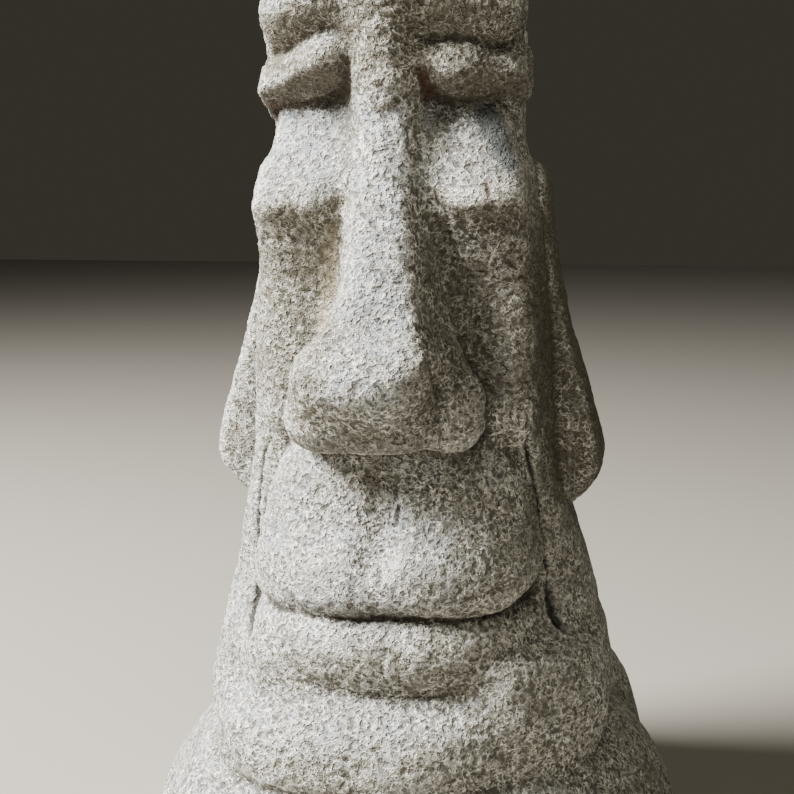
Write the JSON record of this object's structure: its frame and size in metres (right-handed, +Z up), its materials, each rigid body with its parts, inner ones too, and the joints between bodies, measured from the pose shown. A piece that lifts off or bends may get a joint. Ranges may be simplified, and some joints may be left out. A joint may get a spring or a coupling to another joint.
{
  "type": "moai garden statue",
  "caption": "Tall stone head in moai style with heavy brow, long nose, full lips and long ears, on a flared round foot.",
  "frame": {"origin": "middle of the flat underside, on the ground", "axes": "+Z up along the head, -Y the way the face looks, +X towards the statue's own left ear"},
  "size_m": [0.2618, 0.265, 0.43],
  "materials": {
    "cast_stone": "rough weathered cast stone, dull"
  },
  "bodies": {
    "root": {"moai_statue": "cast_stone"}
  },
  "joints": []
}
